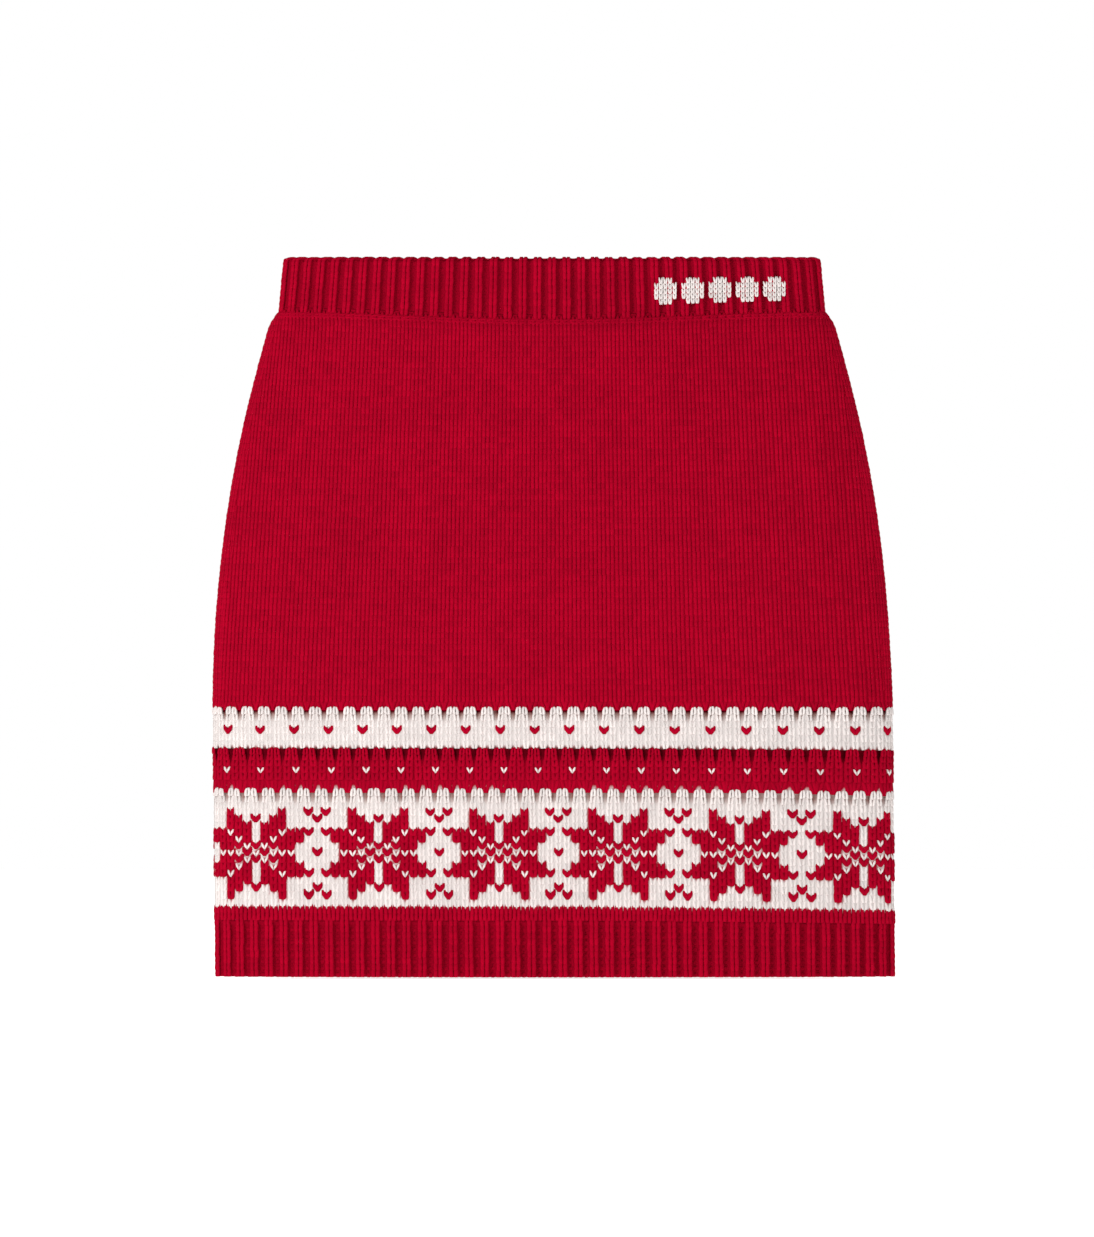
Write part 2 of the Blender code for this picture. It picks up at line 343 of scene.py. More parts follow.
def two_legs(form, reach, cuts):
    """A knit stitch: two mirrored legs. form(t, way) gives a leg's rings. Its width
    and the height of a course are 1, and its crest lies at y = 0, front towards -Y."""
    bm = bmesh.new()
    for way in (1, -1):
        verts = capsule(bm, -0.03, reach, cuts, lambda t, way=way: form(t, way))
        if way < 0:
            faces = list({face for vert in verts for face in vert.link_faces})
            bmesh.ops.reverse_faces(bm, faces=faces)
    return bm


def stitch_template(spread=0.26, reach=1.26, fullness=0.25, ends=(0.28, 0.55), cuts=(0.22, 0.6, 0.85)):
    """One knit stitch, whose legs part as they rise."""

    def form(t, way):
        lean = 0.25 + spread * (t - 0.55)
        sink = 0.46 + 0.05 * (1 - t) ** 3 + 0.40 * t**3
        foot = 1 - min(t / cuts[0], 1)
        head = max(t - 0.5, 0) / 0.5
        thick = 1 - ends[0] * foot**1.5 - ends[1] * head**1.6
        return (way * lean, sink), way * fullness * thick, 0.46 * thick

    return two_legs(form, reach, cuts)


def plain_template():
    """A knit stitch of plain fabric, whose legs run on into one another."""
    return stitch_template(0.05, 1.6, 0.275, (0.2, 0.45), (0.3, 0.7))


def head_template():
    """A knit stitch at the top of a band, whose legs close into a round head."""

    def form(t, way):
        lean = 0.14 + 0.13 * math.sin(math.pi * min(t * 1.05, 1)) ** 0.7
        sink = 0.46 + 0.2 * t**3
        thick = 1 - 0.36 * (1 - min(t / 0.22, 1)) - 0.3 * (max(t - 0.6, 0) / 0.4) ** 3
        return (way * lean, sink), way * 0.25 * thick, 0.46 * thick

    return two_legs(form, 1.18, (0.22, 0.5, 0.75, 0.9))


def lying_strand(form):
    """A strand laid down across the knit."""
    bm = bmesh.new()
    capsule(bm, -0.5, 0.5, (0.3, 0.7), form)
    for vert in bm.verts:
        vert.co = (vert.co.z, vert.co.y, -vert.co.x)
    return bm


def purl_template():
    """One purl bump: a strand that crosses a groove, bowed like a low arch."""

    def form(t):
        arch = 0.18 * math.sin(math.pi * t)
        thick = swell(t, 0.5)
        return (arch, 0.5 - 0.3 * abs(2 * t - 1) ** 2), 0.46 * thick, 0.42 * thick

    return lying_strand(form)


def thread_template():
    """One straight sewn stitch, a short strand that dips at both ends."""

    def form(t):
        return (0.0, abs(2 * t - 1) ** 2), 0.5 * swell(t, 0.4), 0.5 * swell(t, 0.4)

    return lying_strand(form)


def modified(bm, kind, **settings):
    """The mesh of bm as it is, and with one modifier applied."""
    mesh = bpy.data.meshes.new("pattern")
    bm.to_mesh(mesh)
    bm.free()
    item = add_object("pattern", mesh)
    modifier = item.modifiers.new("pattern", kind)
    for key, value in settings.items():
        setattr(modifier, key, value)
    graph = bpy.context.evaluated_depsgraph_get()
    whole = bpy.data.meshes.new_from_object(item.evaluated_get(graph))
    local = vertex_places(mesh)
    bpy.data.objects.remove(item)
    bpy.data.meshes.remove(mesh)
    return local, whole


def vertex_places(mesh):
    places = np.empty(len(mesh.vertices) * 3, np.float32)
    mesh.vertices.foreach_get("co", places)
    return places.reshape(-1, 3).astype(float)


def copies(bm, count):
    """One template's vertices, and a mesh that holds it count times over."""
    return modified(
        bm, "ARRAY", use_relative_offset=False, use_constant_offset=True,
        constant_offset_displace=(4.0, 0.0, 0.0), count=count,
    )


def slab(columns, rows):
    """A flat two-layer cloth in cells. Returns the mesh, each vertex's place
    across and up as shares of the whole, and its depth: 0 outside, 1 inside."""
    bm = bmesh.new()
    bmesh.ops.create_grid(bm, x_segments=columns, y_segments=rows, size=0.5)
    whole = modified(bm, "SOLIDIFY", thickness=1.0, offset=-1.0)[1]
    places = vertex_places(whole)
    return whole, places[:, 0] + 0.5, places[:, 1] + 0.5, (places[:, 2] < -0.5) * 1.0


# ------------ finished pieces


INSIDE_SHIFT = 1.02  # the inside of a cloth lies beside its outside on the map


def set_bake_map(mesh, across, up):
    """The flat knit as a map, for whoever draws the colours on an image."""
    corners = np.empty(len(mesh.loops), np.int32)
    mesh.loops.foreach_get("vertex_index", corners)

    def share(values):
        low, high = values.min(), values.max()
        return 0.005 + 0.99 * (values - low) / max(high - low, 1e-9)

    flat = np.stack([share(across)[corners], share(up)[corners]], axis=1)
    layer = mesh.uv_layers.new(name="OFBake", do_init=False)
    layer.data.foreach_set("uv", flat.astype(np.float32).ravel())


def set_attribute(mesh, name, values):
    layer = mesh.attributes.new(name, "FLOAT", "POINT")
    layer.data.foreach_set("value", values.astype(np.float32))


def finish_piece(name, mesh, places, material, body=SKIRT):
    mesh.name = name
    mesh.vertices.foreach_set("co", places.astype(np.float32).ravel())
    mesh.update()
    mesh.shade_smooth()
    mesh.materials.clear()
    mesh.materials.append(material)
    item = add_object(name, mesh)
    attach(item, body)
    return item


def finish_rib_cloth(name, mesh, places, x, y, inner, stands_for):
    """The red cloth of a ribbed piece, in place of its node in the frame."""
    set_bake_map(mesh, x + INSIDE_SHIFT * inner, y)
    set_attribute(mesh, "white_yarn", np.zeros(len(x)))
    piece = finish_piece(name, mesh, places, cloth_material())
    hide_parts(stands_for)


def lay_stitches(name, template, spots, bend, colour, seed=1, turned=False, shade=0.0, section=None):
    """One copy of the template at each spot, bent on the skirt as one piece.

    Spots are rows of (s, z, width, height, out, tip, hang): tip moves the foot of
    a stitch sideways and hang draws it down. Turned stitches lie on their side.
    Shade makes all of them darker below 0 and lighter above; the rib grooves use it for painted shade.
    Section is the band whose eyelets draw them aside.
    """
    spots = np.array(spots, float)
    local, mesh = copies(template, len(spots))
    s, z, width, height, out, tip, hang = (spots[:, i : i + 1] for i in range(7))
    rng = np.random.default_rng(seed)
    count = len(spots)
    wander = rng.normal(0, 1, (count, 4))
    right, deep, up = (local[:, i][None, :] for i in range(3))
    foot = 1 - np.clip(up, 0, 1)
    yarn = sizes().yarn
    across = right * width * (1 + 0.03 * wander[:, :1]) + tip * foot
    rise = up * height * (1 + 0.03 * wander[:, 1:2]) - hang * foot
    if turned:
        across, rise = rise, -across
    flat_s = s + across + 0.012 * width * wander[:, 2:3]
    flat_z = z + rise
    depth = out - deep * yarn + 0.00006 * wander[:, 3:4]
    flat_s, flat_z, depth = (part.ravel() for part in (flat_s, flat_z, depth))
    flat_s, flat_z = gather(section, flat_s, flat_z, np.repeat(s[:, 0], len(local)))
    places = bend(flat_s, flat_z, depth)
    set_bake_map(mesh, flat_s, flat_z)
    # Each stitch gets a random tone, shifted by shade: in the rib grooves that shift is painted shade
    tones = np.repeat(rng.random(count) + shade, len(local))
    set_attribute(mesh, "stitch_shade", tones)
    material, slot = wool(colour)
    return finish_piece(name, mesh, places, material)


def panel_bend(side):
    def bend(s, z, out):
        return wrap(s / half_panel(z), z, 0.0, out, side)

    return bend


# ------------ materials


def set_inputs(node, **values):
    """Sets a node's inputs, whose names are given with _ for each space."""
    for name, value in values.items():
        node.inputs[name.replace("_", " ")].default_value = value


class Nodes:
    """A small helper that builds a material's node tree."""

    def __init__(self, name):
        self.material = bpy.data.materials.new(name)
        self.material.use_nodes = True
        self.tree = self.material.node_tree
        self.shader = self.tree.nodes["Principled BSDF"]

    def add(self, kind, **settings):
        node = self.tree.nodes.new(kind)
        for key, value in settings.items():
            setattr(node, key, value)
        return node

    def link(self, source, target):
        self.tree.links.new(source, target)

    def maths(self, operation, first, second):
        node = self.add("ShaderNodeMath", operation=operation)
        for socket, value in zip(node.inputs, (first, second)):
            if isinstance(value, (int, float)):
                socket.default_value = value
            else:
                self.link(value, socket)
        return node.outputs[0]

    def noise(self, vector, scale, detail=3.0, roughness=0.55, w=None):
        node = self.add("ShaderNodeTexNoise", noise_dimensions="3D" if w is None else "4D")
        set_inputs(node, Scale=scale, Detail=detail, Roughness=roughness)
        self.link(vector, node.inputs["Vector"])
        if w is not None:
            self.link(w, node.inputs["W"])
        return node.outputs["Fac"]

    def mix(self, share, first, second):
        node = self.add("ShaderNodeMix", data_type="RGBA")
        self.link(share, node.inputs["Factor"])
        for socket, value in ((node.inputs[6], first), (node.inputs[7], second)):
            if isinstance(value, tuple):
                socket.default_value = (*value, 1.0)
            else:
                self.link(value, socket)
        return node.outputs[2]

    def bump(self, height, distance, strength=1.0):
        node = self.add("ShaderNodeBump")
        set_inputs(node, Distance=distance, Strength=strength)
        self.link(height, node.inputs["Height"])
        self.link(node.outputs["Normal"], self.shader.inputs["Normal"])

    def weave(self, place, direction, scale, distortion):
        node = self.add("ShaderNodeTexWave", wave_type="BANDS", bands_direction=direction)
        set_inputs(node, Scale=scale, Distortion=distortion)
        self.link(place, node.inputs["Vector"])
        return node.outputs["Fac"]

    def finish(self, roughness, sheen, sheen_roughness, specular):
        set_inputs(
            self.shader, Roughness=roughness, Sheen_Weight=sheen,
            Sheen_Roughness=sheen_roughness, Specular_IOR_Level=specular,
        )
        return self.material


def scaled(colour, by):
    return tuple(min(1.0, part * by) for part in colour)


def object_coordinates(nodes):
    return nodes.add("ShaderNodeTexCoord").outputs["Object"]


def wool(colour):
    """The yarn's material and the name of its slot."""
    name, slot = f"{colour}_yarn", f"{colour}_wool"
    if name in bpy.data.materials:
        return bpy.data.materials[name], slot
    base = tuple(getattr(colours(), colour))
    nodes = Nodes(name)
    place = object_coordinates(nodes)
    shade = nodes.add("ShaderNodeAttribute", attribute_name="stitch_shade").outputs["Fac"]
    along = nodes.add("ShaderNodeUVMap", uv_map="UVMap").outputs["UV"]
    twist = nodes.add("ShaderNodeMapping")
    set_inputs(twist, Rotation=(0, 0, 0.5), Scale=(9.0, 2.2, 1.0))
    nodes.link(along, twist.inputs["Vector"])
    fibres = nodes.noise(twist.outputs["Vector"], 1.6, 3.0, 0.6, nodes.maths("MULTIPLY", shade, 40.0))
    clouds = nodes.noise(place, 45.0, 2.0)
    fluff = nodes.noise(place, 1500.0, 2.0, 0.7)
    mixed = nodes.maths("MULTIPLY", fluff, 0.20)
    for part, weight in ((clouds, 0.35), (fibres, 0.28), (shade, 0.20)):
        mixed = nodes.maths("ADD", nodes.maths("MULTIPLY", part, weight), mixed)
    # The dark end of this range leaves room for the grooves' painted shade
    tone = nodes.mix(nodes.maths("ADD", mixed, 0.18), scaled(base, 0.45), scaled(base, 1.18))
    nodes.link(tone, nodes.shader.inputs["Base Color"])
    height = nodes.maths("ADD", fibres, nodes.maths("MULTIPLY", fluff, 0.8))
    nodes.bump(height, 0.00035, 0.75)
    return nodes.finish(0.95, 0.0, 0.5, 0.02), slot


def cloth_material():
    """The knit behind the yarn: purl courses in red or white, with painted shade in its eyelets."""
    name = "knit_ground"
    if name in bpy.data.materials:
        return bpy.data.materials[name]
    nodes = Nodes(name)
    place = object_coordinates(nodes)
    white = nodes.add("ShaderNodeAttribute", attribute_name="white_yarn").outputs["Fac"]
    fluff = nodes.noise(place, 1100.0, 3.0, 0.7)
    clouds = nodes.noise(place, 60.0, 2.0)
    grain = nodes.maths(
        "ADD", nodes.maths("MULTIPLY", fluff, 0.6), nodes.maths("MULTIPLY", clouds, 0.4)
    )
    tones = []
    for base in (tuple(colours().red), tuple(colours().white)):
        tones.append(nodes.mix(grain, scaled(base, 0.66), scaled(base, 1.0)))
    pit_and_painted_shade = nodes.add("ShaderNodeAttribute", attribute_name="eyelet_pit").outputs["Fac"]
    # Painted shade for the eyelets: near black red in the red bands and brown-pink in the white ones,
    # standing in for the shadow inside a hole
    shaded = nodes.mix(white, (0.04, 0.0002, 0.002), (0.26, 0.10, 0.075))
    tone = nodes.mix(pit_and_painted_shade, nodes.mix(white, *tones), shaded)
    nodes.link(tone, nodes.shader.inputs["Base Color"])
    nodes.bump(fluff, 0.0006, 0.8)
    return nodes.finish(0.95, 0.0, 0.5, 0.02)


# ------------ operators


class Maker(bpy.types.Operator):
    """Shared by the operators that add pieces"""

    bl_options = {"REGISTER", "UNDO"}


def courses():
    """Every course of a panel above the rib: (height, course height, section, row)."""
    made = []
    for low, high, count, section in (
        (HEM_PLAIN_BASE, STAR_BASE, 2, "hem"),
        *((*band, section) for section, band in BANDS.items()),
        (BODY_BASE, PANEL_TOP, sizes().body_rows, "body"),
    ):
        share = np.arange(count + 1) / count
        lift = LIFT.get(section, 0) * np.sin(math.pi * share**0.6)
        edges = low + (high - low) * share + lift
        made += [(edges[i], edges[i + 1] - edges[i], section, i) for i in range(count)]
    return made


HEM_BASE = 0.0004
HEM_PLAIN_BASE = STAR_BASE - 0.0072
PANEL_TOP = WAISTBAND_BASE - 0.0004


def stitch_colour(section, column, row):
    if section == "star":
        return "red" if is_star(column, row) else "white"
    if section not in BANDS:
        return "red"
    tick = row == TICK_ROW and (column - TICK_COLUMN) % TICK_REPEAT == 0
    return "white" if (section == "white_tick") != tick else "red"


def course_below(place):
    """The course that each height belongs to, counted in courses from the rib."""
    return np.clip(np.ceil(place - 1e-6).astype(int) - 1, 0, None)


def is_lonely(section, column, row):
    """Whether the stitches right below and above have the other colour."""
    own = stitch_colour(section, column, row)
    last = BANDS[section][2] - 1 if section in BANDS else 0
    return 0 < row < last and all(stitch_colour(section, column, row + way) != own for way in (-1, 1))


class SKIRT_OT_panel_cloth(Maker):
    """Adds the cloth of the front and back panels, with its eyelets as shallow pits coloured with
    painted shade
    """

    bl_idname = "skirt.panel_cloth"
    bl_label = "Panel cloth"

    def execute(self, context):
        rows = courses()
        edges = [row[0] for row in rows] + [PANEL_TOP]
        half_rows = np.interp(np.arange(2 * len(rows) + 1) / 2, np.arange(len(rows) + 1), edges)
        columns = 2 * sizes().stitches
        steps = len(half_rows) - 1

        for side in (FRONT, BACK):
            mesh, x, y, inner = slab(columns, steps)
            course_place = y * steps / 2
            z = np.interp(y * steps, range(len(half_rows)), half_rows)
            s = (x - 0.5) * 2 * half_panel(z)
            wave = np.where(np.round(x * columns) % 2 == 0, 0.25, -0.25)
            ridge = np.cos(2 * math.pi * (course_place + 0.25 + wave))
            thickness = sizes().cloth + 0.0004 * ridge
            row = course_below(course_place)
            sections = np.array([rows[i][2] for i in row])
            # The eyelets' share both sinks the cloth and, as an attribute, paints shade on its colour
            pit_and_painted_shade = self.pit_and_painted_shade_share(s, z, sections)
            out = -0.54 * sizes().yarn - 0.0016 * pit_and_painted_shade - inner * thickness
            flat_s, flat_z = s.copy(), z.copy()
            for section in BANDS:
                here = sections == section
                flat_s[here], flat_z[here] = gather(section, s[here], z[here])
            places = wrap(flat_s / half_panel(flat_z), flat_z, 0.0, out, side)
            set_bake_map(mesh, x + INSIDE_SHIFT * inner, y)
            white = self.white_share(s, course_place, rows)
            set_attribute(mesh, "white_yarn", white)
            set_attribute(mesh, "eyelet_pit", pit_and_painted_shade)
            piece = finish_piece(f"panel_cloth_{side}", mesh, places, cloth_material())
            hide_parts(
                *(f"{part}_{side}" for part in (
                    "star_band", "red_tick_band", "white_tick_band", "body"
                ))
            )
        return {"FINISHED"}

    def pit_and_painted_shade_share(self, s, z, sections):
        """1 in an eyelet, fading to 0 around it and below: how far the cloth sinks there, and how much
        painted shade its colour gets.
        """
        pit_and_painted_shade = np.zeros(len(s))
        for section, (low, high, count) in BANDS.items():
            here = sections == section
            course = (high - low) / count
            near = np.clip(1 - np.abs(from_eyelet(section, s[here])) / 0.8, 0, 1)
            rise = np.clip((z[here] - high + 2.2 * course) / (1.2 * course), 0, 1)
            pit_and_painted_shade[here] = near * rise
        return pit_and_painted_shade

    def white_share(self, s, course_place, rows):
        """1 where the cloth behind the stitches is white, 0 where it is red."""
        values = np.zeros(len(s))
        last = len(rows) - 0.01
        for i, row in enumerate(course_below(course_place)):
            section, index = rows[row][2:]
            if section in BANDS and index == BANDS[section][2] - 1:
                near = 1.75 - 1.5 * abs(from_eyelet(section, s[i]))
                shift = -0.15 if section == "red_tick" else 0.5 * np.clip(near, 0, 1)
                place = course_place[i] + shift
                column = math.floor(column_at(section, s[i] + 1e-6))
            else:
                across = column_at(section if section in BANDS else "star", s[i] + 1e-6)
                column = math.floor(across)
                notch = 1 - abs(2 * (across - column) - 1)
                place = course_place[i] - 0.15 + 0.6 * notch
            section, index = rows[int(np.clip(place, 0, last))][2:]
            if section in BANDS:
                white = stitch_colour(section, column, index) == "white"
                values[i] = white != is_lonely(section, column, index)
        return values


def band_columns(section, reach):
    """Columns that fit between the side seams, and the places of their middles."""
    columns = np.arange(-sizes().stitches, sizes().stitches)
    places = column_place(section, columns + 0.5)
    fit = np.abs(places) < reach - 0.45 * hip_stitch()
    return columns[fit], places[fit]


class SKIRT_OT_body_stitches(Maker):
    """Adds the plain knit stitches of the body"""

    bl_idname = "skirt.body_stitches"
    bl_label = "Body stitches"

    def execute(self, context):
        s = sizes()
        rows = [row for row in courses() if row[2] == "body"]
        for number, side in enumerate((FRONT, BACK)):
            parts = {"lower": [], "upper": []}
            for low, course, _, index in rows:
                part = parts["lower" if index < s.body_rows / 2 else "upper"]
                part += self.course_spots(low, course, index)
            for word, spots in parts.items():
                lay_stitches(
                    f"body_stitches_{side}_{word}", plain_template(), spots,
                    panel_bend(side), "red", seed=11 + number,
                )
        return {"FINISHED"}

    def course_spots(self, low, course, index):
        """One course: plain columns, and two wales that follow each side seam."""
        middle = low + 0.6 * course
        rise = (middle - BODY_BASE) / (BODY_TOP - BODY_BASE)
        narrowing = 1 + (sizes().waist_stitch / hip_stitch() - 1) * rise
        stitch = hip_stitch() * narrowing
        reach = reach_at(middle)
        places = band_columns("body", reach / narrowing)[1] * narrowing
        places = places[np.abs(places) < reach - 2.1 * stitch]
        spots = []
        for place in places:
            tip, hang = (0, 0) if index else over_eyelet("white_tick", place)
            spots.append((place, low, stitch, course, 0 if index else SET_BACK, tip, hang))
        for way, last in ((1, places[-1]), (-1, -places[0])):
            free = reach - 2 * stitch - (last + stitch / 2)
            if free > 0.25 * stitch:
                place = way * (last + stitch / 2 + free / 2)
                spots.append((place, low, free, course, 0, 0, 0))
            for wale in (0.5, 1.5):
                edge = way * (reach - wale * stitch)
                spots.append((edge, low, stitch, course, 0, 0, 0))
        return spots


def over_eyelet(section, place):
    """How a stitch right above an eyelet leans over it and hangs into it."""
    if section == "red_tick":
        return 0, 0
    apart = from_eyelet(section, place)
    near = max(0, 1 - abs(apart))
    deep = {"white_tick": 0.0030, "star": 0.0024}[section]
    return -1.5 * apart * near * hip_stitch(), deep * near


class SKIRT_OT_band_stitches(Maker):
    """Adds the stitches of the star band, the tick bands and the hem's top"""

    bl_idname = "skirt.band_stitches"
    bl_label = "Band stitches"

    def execute(self, context):
        reach = reach_at(0.0)
        below = {"red_tick": "star", "white_tick": "red_tick"}
        for number, side in enumerate((FRONT, BACK)):
            parts = {}
            for low, course, section, index in courses():
                if section == "body":
                    continue
                lie = "star" if section == "hem" else section
                columns, places = band_columns(lie, reach)
                widths = np.gradient(places)
                for column, place, width in zip(columns, places, widths):
                    colour = stitch_colour(section, int(column), index)
                    tip, hang = 0, 0
                    out = 0.0002 if colour == "red" else -0.0002
                    if index == 0 and section in below:
                        tip, hang = over_eyelet(below[section], place)
                        out = SET_BACK
                    word = "stitches"
                    if section in BANDS and index == BANDS[section][2] - 1:
                        word, out = "heads", 0.0003
                    elif is_lonely(section, int(column), index):
                        word = "ticks"
                    size = (0.88 if colour == "white" else 1.08) if word == "ticks" else 1
                    spot = (place, low, width * size, course * size, out, tip, hang)
                    parts.setdefault((section, colour, word), []).append(spot)
            for (section, colour, word), spots in parts.items():
                fullness = 0.21 if colour == "white" else 0.33 if word == "ticks" else 0.28
                if section == "hem":
                    template = plain_template()
                elif word == "heads":
                    template = head_template()
                elif word == "ticks":
                    template = stitch_template(0.38, 1.2, fullness, (0.65, 0.5), (0.45, 0.7, 0.9))
                else:
                    template = stitch_template(0.18, 1.34, fullness, (0.2, 0.45), (0.25, 0.75))
                lay_stitches(
                    f"{section}_{colour}_{word}_{side}", template, spots,
                    panel_bend(side), colour, seed=21 + number, section=section,
                )
        return {"FINISHED"}


def rib_inset(share, ribs, depth):
    """How far the cloth sinks between ribs. Share runs from 0 to 1 over the ribs."""
    apart = np.abs((share * ribs) % 1 - 0.5)
    sink = np.clip((apart - 0.25) / 0.13, 0, 1)
    return depth * sink * sink * (3 - 2 * sink)


def rib_spots(ribs, rows, course, low, reach):
    """Knit columns on the ribs and purl bumps in the grooves between them."""
    knit, purl = [], []
    pitch = 2 * reach / ribs
    deep = sizes().rib_depth + 0.12 * sizes().yarn
    for row in range(rows):
        for rib in range(ribs):
            crest = ((2 * rib + 1) / ribs - 1) * reach
            knit.append((crest, low + row * course, 0.6 * pitch, course, 0, 0, 0))
            groove = crest + pitch / 2
            height = low + (row + 0.5) * course
            if rib < ribs - 1:
                purl.append((groove, height, 0.46 * pitch, course, -deep, 0, 0))
    return knit, purl


def lay_ribs(word, side, knit, purl, bend, seed, shade):
    """Knit columns on the ribs, and purl bumps between them, darkened by shade as painted shade for
    the grooves.
    """
    lay_stitches(f"{word}_ribs_{side}", plain_template(), knit, bend, "red", seed)
    grooves = f"{word}_grooves_{side}"
    lay_stitches(grooves, purl_template(), purl, bend, "red", seed + 2, shade=shade)


class SKIRT_OT_hem_rib(Maker):
    """Adds the ribbed hem: its cloth, its ribs and its grooves"""

    bl_idname = "skirt.hem_rib"
    bl_label = "Hem rib"

    def execute(self, context):
        s = sizes()
        reach = reach_at(0.0)
        top = HEM_PLAIN_BASE
        course = top / s.hem_rows
        for number, side in enumerate((FRONT, BACK)):
            mesh, x, y, inner = slab(s.hem_ribs * 6, 12)
            z = HEM_BASE + y * (top - HEM_BASE)
            fade = np.clip((top - z) / 0.003, 0, 1)
            sink = rib_inset(x, s.hem_ribs, s.rib_depth) * fade
            out = -0.62 * s.yarn - sink - inner * s.cloth
            places = wrap(x * 2 - 1, z, 0.0, out, side)
            finish_rib_cloth(f"hem_cloth_{side}", mesh, places, x, y, inner, f"hem_rib_{side}")
            knit, purl = rib_spots(s.hem_ribs, s.hem_rows, course, HEM_BASE, reach)
            # -0.7 is painted shade on the hem's purl bumps, for the depth of the grooves
            lay_ribs("hem", side, knit, purl, panel_bend(side), 31 + number, -0.7)
        return {"FINISHED"}


FOLD_HEIGHT = 0.0024
FOLD_REACH = 0.0046  # half the distance between the waistband's two walls
FOLD_RUN = math.pi * math.hypot(FOLD_HEIGHT, FOLD_REACH) / math.sqrt(2)
WALL = SKIRT_TOP - WAISTBAND_BASE - FOLD_HEIGHT


def waist_run():
    return 2 * WALL + FOLD_RUN


def waist_place(run):
    """Height, inset and tilt at a distance up the wall, over the fold and down."""
    tilt = np.clip((run - WALL) / FOLD_RUN, 0, 1) * math.pi
    past = np.clip(run - WALL - FOLD_RUN, 0, None)
    height = WAISTBAND_BASE + np.minimum(run, WALL) + FOLD_HEIGHT * np.sin(tilt) - past
    return height, FOLD_REACH * (1 - np.cos(tilt)), tilt


def groove_share(run):
    """How much of their depth the grooves have along the folded waistband."""
    fold = WALL + FOLD_RUN / 2
    places = (0, 0.005, WALL, fold, WALL + FOLD_RUN)
    return np.interp(run, places, (0.25, 1, 1, 0.3, 0.45))


def waist_bend(side):
    reach = reach_at(WAISTBAND_BASE)

    def bend(s, run, out):
        height, inset, tilt = waist_place(run)
        return wrap(s / reach, height + out * np.sin(tilt), inset, out * np.cos(tilt), side)

    return bend


class SKIRT_OT_waistband(Maker):
    """Adds the folded ribbed waistband and its elastic"""

    bl_idname = "skirt.waistband"
    bl_label = "Waistband"

    def execute(self, context):
        s = sizes()
        reach = reach_at(WAISTBAND_BASE)
        total = waist_run()
        course = total / s.waist_rows
        elastic = self.elastic_material()
        for number, side in enumerate((FRONT, BACK)):
            bend = waist_bend(side)
            mesh, x, y, inner = slab(s.waist_ribs * 6, 40)
            sink = rib_inset(x, s.waist_ribs, 0.9 * s.rib_depth) * groove_share(y * total)
            out = -0.62 * s.yarn - sink - inner * 0.0005
            places = bend((x * 2 - 1) * reach, y * total, out)
            finish_rib_cloth(f"waistband_cloth_{side}", mesh, places, x, y, inner, f"waistband_{side}")
            knit, purl = rib_spots(s.waist_ribs, s.waist_rows, course, 0.0, reach)
            purl = np.array(purl)
            purl[:, 4] *= groove_share(purl[:, 1])
            # -1.1 is painted shade on the waistband's purl bumps, for the depth of the grooves
            lay_ribs("waist", side, knit, purl, bend, 41 + number, -1.1)
            self.add_elastic(side, elastic)
        return {"FINISHED"}

    def add_elastic(self, side, material):
        low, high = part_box("waist_elastic")
        mesh, x, y, inner = slab(90, 6)
        height = low[2] + (high[2] - low[2]) * y
        out = -0.00425 - 0.0002 * inner
        places = wrap(x * 2 - 1, height, 0.0, out, side)
        set_bake_map(mesh, x + INSIDE_SHIFT * inner, y)
        piece = finish_piece(f"elastic_{side}", mesh, places, material)
        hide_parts("waist_elastic")

    def elastic_material(self):
        nodes = Nodes("woven_elastic")
        ribs = nodes.weave(object_coordinates(nodes), "Z", 320.0, 0.6)
        base = tuple(colours().elastic)
        tone = nodes.mix(ribs, scaled(base, 0.7), scaled(base, 1.2))
        nodes.link(tone, nodes.shader.inputs["Base Color"])
        nodes.bump(ribs, 0.0003)
        return nodes.finish(0.7, 0.1, 0.5, 0.3)


class SKIRT_OT_linking_chain(Maker):
    """Adds the chain of loops that joins waistband and body"""

    bl_idname = "skirt.linking_chain"
    bl_label = "Linking chain"

    def execute(self, context):
        height = (BODY_TOP + WAISTBAND_BASE) / 2
        reach = reach_at(BODY_TOP)
        links = round(2 * reach / 0.0049)
        pitch = 2 * reach / links
        spots = [
            (-reach + (i + 0.1) * pitch, height, 0.0034, pitch, 0.0001, 0, 0)
            for i in range(links)
        ]
        for side in (FRONT, BACK):

            def bend(s, z, out, side=side):
                return wrap(s / reach, z, 0.0, out, side)

            chain = lay_stitches(
                f"linking_chain_{side}", stitch_template(), spots, bend, "red", 51,
                turned=True,
            )
        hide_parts("waistband_linking_chain")
        return {"FINISHED"}


class SKIRT_OT_side_seams(Maker):
    """Adds the linked loops that stand inside each side seam"""

    bl_idname = "skirt.side_seams"
    bl_label = "Side seams"

    def execute(self, context):
        course = 0.0036
        low = 0.002
        count = int((BODY_TOP - 0.003 - low) / course)
        spots = [(0.0, low + i * course, 0.0036, course, 0, 0, 0) for i in range(count)]
        for word, way in (("left", 1), ("right", -1)):

            def bend(s, z, out, way=way):
                share = way * (1 - way * s / half_panel(z))
                return wrap(share, z, 0.0054, -out, FRONT)

            seam = lay_stitches(f"seam_ridge_{word}", stitch_template(), spots, bend, "red", 61)
            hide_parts(f"side_seam_{word}")
        return {"FINISHED"}


